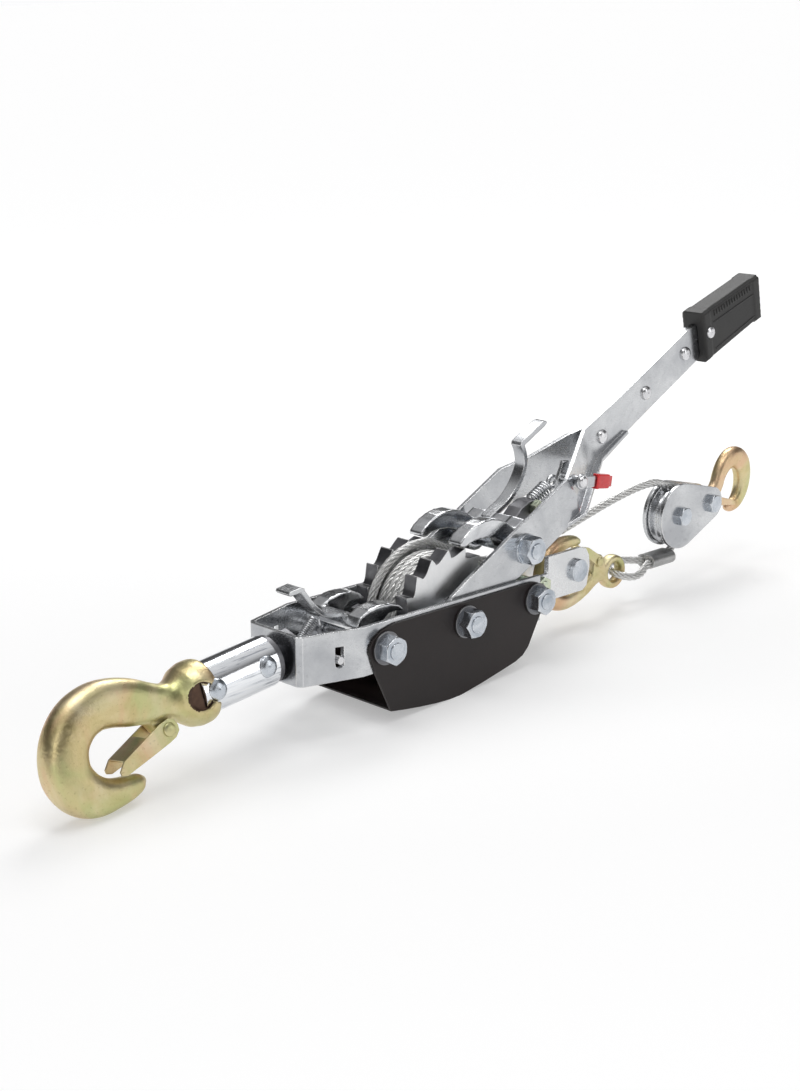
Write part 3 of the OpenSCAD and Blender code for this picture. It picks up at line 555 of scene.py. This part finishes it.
MATS = {
    "satin_zinc": metal("satin_zinc", (0.66, 0.67, 0.68), (0.42, 0.43, 0.45), (0.96, 0.96, 0.96), 0.15, 0.32, 22, 500, 0.00003, (0.25, 3, 3), 0.10, 0.0011, 0.18),
    "blue_zinc": metal("blue_zinc", (0.66, 0.69, 0.73), (0.38, 0.42, 0.47), (0.92, 0.93, 0.95), 0.16, 0.34, 60, 900, 0.00004, (1, 1, 1), 0.0, 0.0008, 0.15),
    "rivet_steel": metal("rivet_steel", (0.80, 0.80, 0.81), (0.58, 0.58, 0.60), (0.93, 0.93, 0.93), 0.2, 0.36, 60, 800),
    "drum_steel": metal("drum_steel", (0.74, 0.75, 0.77), (0.50, 0.51, 0.53), (0.93, 0.93, 0.93), 0.16, 0.34, 30, 600, 0.00005, (1, 1, 1), 0.05, 0.0007, 0.12),
    "dark_steel": metal("dark_steel", (0.26, 0.26, 0.27), (0.12, 0.12, 0.13), (0.46, 0.46, 0.47), 0.34, 0.55, 40, 600, 0.0001),
    "bronze": metal("bronze", (0.62, 0.48, 0.28), (0.40, 0.30, 0.17), (0.80, 0.66, 0.42), 0.28, 0.45),
    "spring_steel": metal("spring_steel", (0.76, 0.77, 0.78), (0.52, 0.53, 0.55), (0.92, 0.92, 0.92), 0.2, 0.34, 60, 900, 0.00003, (1, 1, 1), 0.0, 0.0003),
    "green_zinc": metal("green_zinc", (0.70, 0.72, 0.54), (0.46, 0.54, 0.42), (0.90, 0.90, 0.78), 0.2, 0.38, 70, 700),
    "white_zinc": metal("white_zinc", (0.84, 0.84, 0.84), (0.66, 0.67, 0.68), (0.97, 0.97, 0.97), 0.2, 0.36, 22, 600, 0.00004, (1, 1, 1), 0.0, 0.0008, 0.12),
    "bright_sleeve": sleeve(),
    "gold_zinc": gold(),
    "cast_teeth": toothed(),
    "black_paint": paint(),
    "rope_steel": rope_mat("rope_steel"),
    "grip_rubber": rubber(),
    "red_vinyl": vinyl(),
}
MATS2 = {
    "pawl_polish": metal("pawl_polish", (0.78, 0.79, 0.80), (0.40, 0.41, 0.43), (0.96, 0.96, 0.96), 0.08, 0.24, 30, 700, 0.00004, (1, 1, 1), 0.06, 0.0009, 0.15),
    "ferrule_zinc": metal("ferrule_zinc", (0.52, 0.52, 0.51), (0.34, 0.34, 0.34), (0.74, 0.74, 0.73), 0.34, 0.5, 60, 600, 0.00012, (1, 1, 1), 0.0, 0.0008, 0.3),
    # painted shade for the recess behind the front hook's sleeve end
    "recess_shade": metal("recess_shade", (0.16, 0.10, 0.07), (0.07, 0.045, 0.035), (0.30, 0.22, 0.16), 0.4, 0.6, 60, 600, 0.0001),
}
SLOT = {s["node"]: s["material_slot"] for s in frame["record"]["subparts"]}
for name, ob in N.items():
    ob.data.materials.clear()
    ob.data.materials.append(MATS[SLOT[name]])
    w = ob.modifiers.new("weld", "WELD")
    w.merge_threshold = 2e-6
    ob.data.polygons.foreach_set("use_smooth", [True] * len(ob.data.polygons))
    sp = ob.modifiers.new("split", "EDGE_SPLIT")
    sp.split_angle = math.radians(28)

N["rope_ferrule"].data.materials[0] = MATS2["ferrule_zinc"]

# ---- rope -------------------------------------------------------------------------
RR = 3.25
lead = 44 + RR + 0.6
sheave_c = (292.4, 20.2)
route = [[lead * math.cos(math.radians(a)), 9.5, lead * math.sin(math.radians(a))] for a in np.arange(235, 84.9, -7.5)]
route += [[14, 9.4, 46.8], [32, 9, 37.6], [52, 8.5, 27], [70, 8, 21.6], [90, 7, 20.2], [112, 5.5, 21.6], [135, 4, 25.6], [158, 2.5, 31],
          [182, 1, 37.4], [206, -0.5, 43.6], [230, -1.8, 48.8], [250, -2.6, 51.6], [266, -3, 51.6], [280, -3, 47.6]]
route += [[sheave_c[0] + 23.4 * math.cos(math.radians(a)), -3, sheave_c[1] + 23.4 * math.sin(math.radians(a))] for a in np.arange(82, -86.1, -24)]
route += [[297, -2.6, -6.4], [289.5, -1.4, -12.2], [281, -0.2, -14.4], [270, 0.5, -14.5], [259, 0.8, -14.2],
          [249, 4.2, -12.8], [240, 8.6, -11.8], [231, 10.6, -12.0], [223.5, 8.6, -13.0], [218.6, 3.6, -14.6], [217.8, -1.4, -15.8], [219.6, -6.6, -17.4],
          [224.5, -11, -19], [232, -12.8, -19.8], [241, -11.8, -19], [250, -8.8, -16.6], [259, -6.8, -14.6], [270, -6.5, -14.5], [284, -6.5, -14.5]]
dense = cr(route, 6)
parts, centre = strands(dense, RR, 36.0)
v, f, u = join(parts)
rope = new_obj("stranded_rope", W(v), f, uv=u)
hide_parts("wire_rope")
finish_piece(rope, "frame", MATS["rope_steel"])

# turns laid on the drum, over a lower layer
turns = []
for k, (rad, y0, y1, n) in enumerate([(40.7, -10.4, 10.4, 3.92), (35.2, -9.2, 9.2, 3.2)]):
    a = np.linspace(0, 2 * math.pi * n, int(150 * n))
    yy = y0 + (y1 - y0) * (np.clip(a / (2 * math.pi * n), 0, 1))
    c = np.stack([rad * np.cos(a + 2.0), yy, rad * np.sin(a + 2.0)], 1)
    pp, _ = strands(c, 3.2, 36.0, m=6, phase=k, ds=2.2)
    turns += pp
v, f, u = join(turns)
wind = new_obj("drum_turns", W(v), f, uv=u)
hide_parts("rope_winding")
finish_piece(wind, "drum", MATS["rope_steel"])

# ---- springs ----------------------------------------------------------------------


def coil(p0, axis, side, length, mean_r, wire_r, n, name, body, conv):
    p0, axis, side = (np.asarray(x, float) for x in (p0, axis, side))
    third = np.cross(axis, side)
    t = np.linspace(0, 1, int(n * 22))
    a = 2 * math.pi * n * t
    q = np.clip((t - 0.06) / 0.88, 0, 1)
    c = p0 + axis * (wire_r + (length - 2 * wire_r) * q)[:, None] + mean_r * (np.cos(a)[:, None] * side + np.sin(a)[:, None] * third)
    v, f, u = tube_mesh(c, wire_r, 8)
    ob = new_obj(name, W(conv(v)), f)
    finish_piece(ob, body, MATS["spring_steel"])
    return ob


o = coil([126.2, -8, 7], [1, 0, 0], [0, 1, 0], 17.3, 6.05, 0.85, 6.5, "pawl_coil", "drive_pawl", Hf)
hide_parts("pawl_spring")
a0, b0 = np.array([-117.7, -3.0]), np.array([-99.0, 15.4])
d = (b0 - a0) / np.linalg.norm(b0 - a0)
L = float(np.linalg.norm(b0 - a0))
o = coil([a0[0] + d[0] * 3.2, 9, a0[1] + d[1] * 3.2], [d[0], 0, d[1]], [0, 1, 0], L - 6.5, 3.4, 0.75, 13.5, "holding_coil", "frame", ident)
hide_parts("holding_pawl_spring")

# ---- hooks ------------------------------------------------------------------------


def smooth_sweep(c, w, t, m=36, k=6):
    arr = cr(np.column_stack([np.asarray(c, float), w, t]), k)
    return oval_sweep(arr[:, :2], arr[:, 2], arr[:, 3], m)


hc = [[82, 1.5], [91, 3.4], [104, 6.6], [117.5, 12], [131.5, 16.8], [145, 18.2], [159, 13.6], [170, 2.2], [174, -12.5], [171.2, -23.5], [164.8, -31.6], [156, -36.6], [145.5, -39], [134, -39.6], [125.5, -39], [122, -38.8]]
hw = [16.5, 11.5, 13.6, 15.6, 15.9, 15.8, 16, 16.2, 16.6, 16.2, 15.2, 13, 10, 8, 5.8, 3]
ht = [15.5, 11.5, 10.8, 11.2, 11.6, 12, 12, 12, 12, 12, 12, 11.4, 10.2, 8.6, 6.4, 3.2]
cup = revolve_x([(10, 70.3), (18.2, 70.3), (18.2, 60.2), (21.1, 60.2), (22.3, 64), (22.4, 70), (20.5, 77), (16, 83), (10, 86), (0.05, 86), (0.05, 70.3)])
ear = slab_mesh([[90, -5], [92.5, -13.5], [96, -18.4], [101.4, -18.4], [105, -13.5], [110, -4]], -6.5, 6.5)
v, f, _ = join([smooth_sweep(hc, hw, ht), cup, ear])
fh = new_obj("forged_hook", W(Sf(v)), f)
recalc(fh)
cutters = []
for q in (-1, 1):
    cv, cf, _ = ring_mesh(72.5, 0, [(0.01, q * 22 - 6.4), (9.5, q * 22 - 6.4), (9.5, q * 22 + 6.4), (0.01, q * 22 + 6.4)], 40)
    co = new_obj("cut%d" % q, W(Sf(cv)), cf)
    recalc(co)
    cutters.append(co)
for k, q in enumerate((-1, 1)):
    cv, cf, _ = ring_mesh(60, 0, [(0.01, q * 22.5 - 7.5), (7.9, q * 22.5 - 7.5), (7.9, q * 22.5 + 7.5), (0.01, q * 22.5 + 7.5)], 40)
    co = new_obj("cuts%d" % k, W(Sf(cv)), cf)
    recalc(co)
    cutters.append(co)
remesh(fh, 0.0009, 7, 0.5, cutters)
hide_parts("front_hook")
finish_piece(fh, "hook", MATS["gold_zinc"])
# painted shade: faces in the recess behind the sleeve's end get a dark brown material standing in for the shade there
fh.data.materials.append(MATS2["recess_shade"])
ctr = np.zeros(len(fh.data.polygons) * 3, np.float32)
fh.data.polygons.foreach_get("center", ctr)
pa = (ctr.reshape(-1, 3).astype(float) * 1000 - ORG) @ RY - np.array([-150, 0, -2])
ro_, dr_ = math.radians(13), math.radians(6.86)
ux = pa[:, 0] * math.cos(dr_) + pa[:, 2] * math.sin(dr_)
uz = -pa[:, 0] * math.sin(dr_) + pa[:, 2] * math.cos(dr_)
lx_, ly_, lz_ = -ux, -pa[:, 1], uz
yy_, zz_ = ly_ * math.cos(ro_) + lz_ * math.sin(ro_), -ly_ * math.sin(ro_) + lz_ * math.cos(ro_)
dark = (np.abs(yy_) > 8) & (np.hypot(yy_, zz_) < 19.6) & (((lx_ - 72.5) ** 2 + zz_ ** 2) < 10.4 ** 2) & (lx_ > 60)
fh.data.polygons.foreach_set("material_index", dark.astype(np.int32))
print("recess faces", int(dark.sum()))

rc = [[206, -13.5], [199, -13.2], [190, -16.2], [180, -22], [168, -26.4], [155, -28], [143, -24.8], [134, -17], [130, -6.5], [131.5, 5], [138, 13.8], [148, 19.2], [158, 20.8], [167, 20.2], [173, 18.6]]
rw = [8, 7, 6.4, 6, 6, 6.4, 6.8, 7, 7, 6.6, 6.2, 5.8, 5.2, 4.4, 2.8]
rt = [4.6, 5.2, 5.6, 5.8, 6, 6.2, 6.4, 6.4, 6.4, 6.2, 6, 5.6, 5, 4.2, 2.8]
eye = ring_mesh(216.5, -14.8, [(7.6, -1.6), (8.4, -3.6), (9.6, -4.6), (12.4, -4.6), (13.7, -3.4), (14, -1.5), (14, 1.5), (13.7, 3.4), (12.4, 4.6), (9.6, 4.6), (8.4, 3.6), (7.6, 1.6)])
horn = slab_mesh([[188, -12], [190, 1.0], [193.6, 4.6], [198.4, 3.6], [203, -4], [206, -14]], -4.6, 4.6)
v, f, _ = join([smooth_sweep(rc, rw, rt, 28), eye, horn])
rh = new_obj("forged_rear_hook", W(v), f)
recalc(rh)
remesh(rh, 0.0006, 5)
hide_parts("rear_hook")
finish_piece(rh, "frame", MATS["gold_zinc"])

bc = [[342, 26.5], [348.5, 30], [353, 36], [356, 43.5], [361.5, 51], [370, 56], [379, 55.4], [386.5, 49.5], [390, 40], [389.6, 30], [386.2, 21.5], [380.4, 15.2], [373, 12.8], [368.5, 13.6]]
bw = [7.4, 6.8, 6.4, 6.4, 7.2, 8.6, 9.6, 9.4, 8.4, 7.2, 6.4, 5.6, 4.6, 3.2]
bt = [5, 5.1, 5.2, 5.4, 6, 6.4, 6.4, 6.4, 6.2, 6, 5.6, 5, 4.2, 3]
eye = ring_mesh(334.1, 24.1, [(5.1, -4.6), (5.6, -5), (10, -5), (11, -4), (11, 4), (10, 5), (5.6, 5), (5.1, 4.6)])
root = slab_mesh([[340.5, 15.8], [344, 17], [352, 20], [352, 26.5], [345, 30], [341, 32.6]], -5, 5)
v, f, _ = join([smooth_sweep(bc, bw, bt, 28), eye, root])
bh = new_obj("forged_block_hook", W(v + np.array([0, -3.0, 0])), f)
recalc(bh)
remesh(bh, 0.0006, 5)
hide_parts("block_hook")
finish_piece(bh, "block_hook", MATS["gold_zinc"])

# ---- cast, moulded and dipped pieces with rounded corners ---------------------------
for node, body, vox, it in (("drive_pawl", "drive_pawl", 0.0008, 3), ("holding_pawl", "holding_pawl", 0.0008, 3), ("pawl_tail_block", "drive_pawl", 0.0006, 4)):
    ob = soften(node, vox, it, "cast_" + node)
    finish_piece(ob, body, MATS[SLOT[node]] if node == "pawl_tail_block" else MATS2["pawl_polish"])
cap = soften("direction_lever_cap", 0.0005, 14, "vinyl_cap")
finish_piece(cap, "direction_lever", MATS["red_vinyl"])
grip = soften("handle_grip", 0.0008, 5, "moulded_grip")
finish_piece(grip, "handle", MATS["grip_rubber"])

# ribs moulded along the upper edge of the grip, both sides, and two long grooves' lips
rib = []
for q in (-1, 1):
    for i in range(15):
        x = 377 + i * 3.6
        zt = 19.4 - (x - 371) * (11.0 / 68)
        y0, y1 = (10.2, 11.25) if q > 0 else (-11.25, -10.2)
        rib.append(slab_mesh([[x, zt - 6.2], [x + 1.9, zt - 6.5], [x + 2.3, zt - 1.6], [x + 0.4, zt - 1.3]], y0, y1))
    y0, y1 = (10.2, 11.0) if q > 0 else (-11.0, -10.2)
    rib.append(slab_mesh([[374, 8.6], [431, -0.6], [431, -2.0], [374, 7.2]], y0, y1))
    rib.append(slab_mesh([[368, -13.6], [426, -19.0], [426, -20.4], [368, -15.0]], y0, y1))
v, f, _ = join(rib)
ribs = new_obj("grip_ribs", W(Hf(v)), f, smooth=False)
recalc(ribs)
bv = ribs.modifiers.new("soft", "BEVEL")
bv.width = 0.00035
bv.segments = 2
bake_mods(ribs, "grip_ribs")
finish_piece(ribs, "handle", MATS["grip_rubber"])

# ---- stage, light -------------------------------------------------------------------
flo = new_obj("floor", [(-60, -60, 0), (60, -60, 0), (60, 60, 0), (-60, 60, 0)], [(0, 1, 2, 3)], smooth=False)
fm = bpy.data.materials.new("floor")
fm.use_nodes = True
fb = fm.node_tree.nodes["Principled BSDF"]
fb.inputs["Base Color"].default_value = (0.62, 0.62, 0.62, 1)
ft = fm.node_tree
ftc = ft.nodes.new("ShaderNodeTexCoord")
fln = ft.nodes.new("ShaderNodeVectorMath")
fln.operation = "LENGTH"
ft.links.new(ftc.outputs["Object"], fln.inputs[0])
# painted light: the floor glows, its emission rising from 0.38 near the origin to 0.72 far away
floor_glow_ramp = ft.nodes.new("ShaderNodeMapRange")
for i_, v_ in enumerate((0.3, 2.2, 0.38, 0.72)):
    floor_glow_ramp.inputs[i_ + 1].default_value = v_
ft.links.new(fln.outputs["Value"], floor_glow_ramp.inputs[0])
fb.inputs["Emission Color"].default_value = (1, 1, 1, 1)
ft.links.new(floor_glow_ramp.outputs[0], fb.inputs["Emission Strength"])
fb.inputs["Roughness"].default_value = 0.75
flo.data.materials.append(fm)
flo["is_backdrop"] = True

world = bpy.data.worlds.new("studio")
scene.world = world
world.use_nodes = True
wt = world.node_tree
bg = wt.nodes["Background"]
tcw = wt.nodes.new("ShaderNodeTexCoord")
sep = wt.nodes.new("ShaderNodeSeparateXYZ")
rmp = wt.nodes.new("ShaderNodeValToRGB")
wt.links.new(tcw.outputs["Generated"], sep.inputs[0])
mr = wt.nodes.new("ShaderNodeMapRange")
mr.inputs[1].default_value = -1.0
mr.inputs[2].default_value = 1.0
wt.links.new(sep.outputs[2], mr.inputs[0])
wt.links.new(mr.outputs[0], rmp.inputs["Fac"])
els = rmp.color_ramp.elements
els[0].position, els[0].color = 0.0, (1.0, 1.0, 1.0, 1)
els[1].position, els[1].color = 1.0, (1.0, 1.0, 1.0, 1)
for pos, val in ((0.50, 1.15), (0.53, 1.15), (0.56, 0.22), (0.66, 0.05), (0.78, 0.12), (0.90, 0.75)):
    e = els.new(pos)
    e.color = (val, val, val * 1.01, 1)
wt.links.new(rmp.outputs["Color"], bg.inputs["Color"])
bg.inputs["Strength"].default_value = 0.85


def area(name, loc, target, size, power, size_y=None):
    ld = bpy.data.lights.new(name, "AREA")
    ld.shape = "RECTANGLE" if size_y else "SQUARE"
    ld.size = size
    if size_y:
        ld.size_y = size_y
    ld.energy = power
    lo = bpy.data.objects.new(name, ld)
    scene.collection.objects.link(lo)
    lo.location = loc
    dv = Vector(target) - Vector(loc)
    lo.rotation_euler = dv.to_track_quat("-Z", "Y").to_euler()
    return lo


area("key", (0.95, 0.75, 1.35), (0.0, 0.0, 0.08), 0.8, 11, 0.8)
area("top", (-0.25, -0.05, 1.6), (0.0, 0.0, 0.05), 1.1, 7, 0.5)
area("front", (-1.3, -1.1, 0.75), (-0.05, 0.0, 0.08), 0.55, 3.2, 0.9)
area("side", (0.75, -1.35, 0.6), (0.05, 0.0, 0.08), 0.4, 2.2, 0.8)
scene.view_settings.view_transform = "Standard"
scene.view_settings.look = "None"
scene.view_settings.exposure = 0.0

new_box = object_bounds()
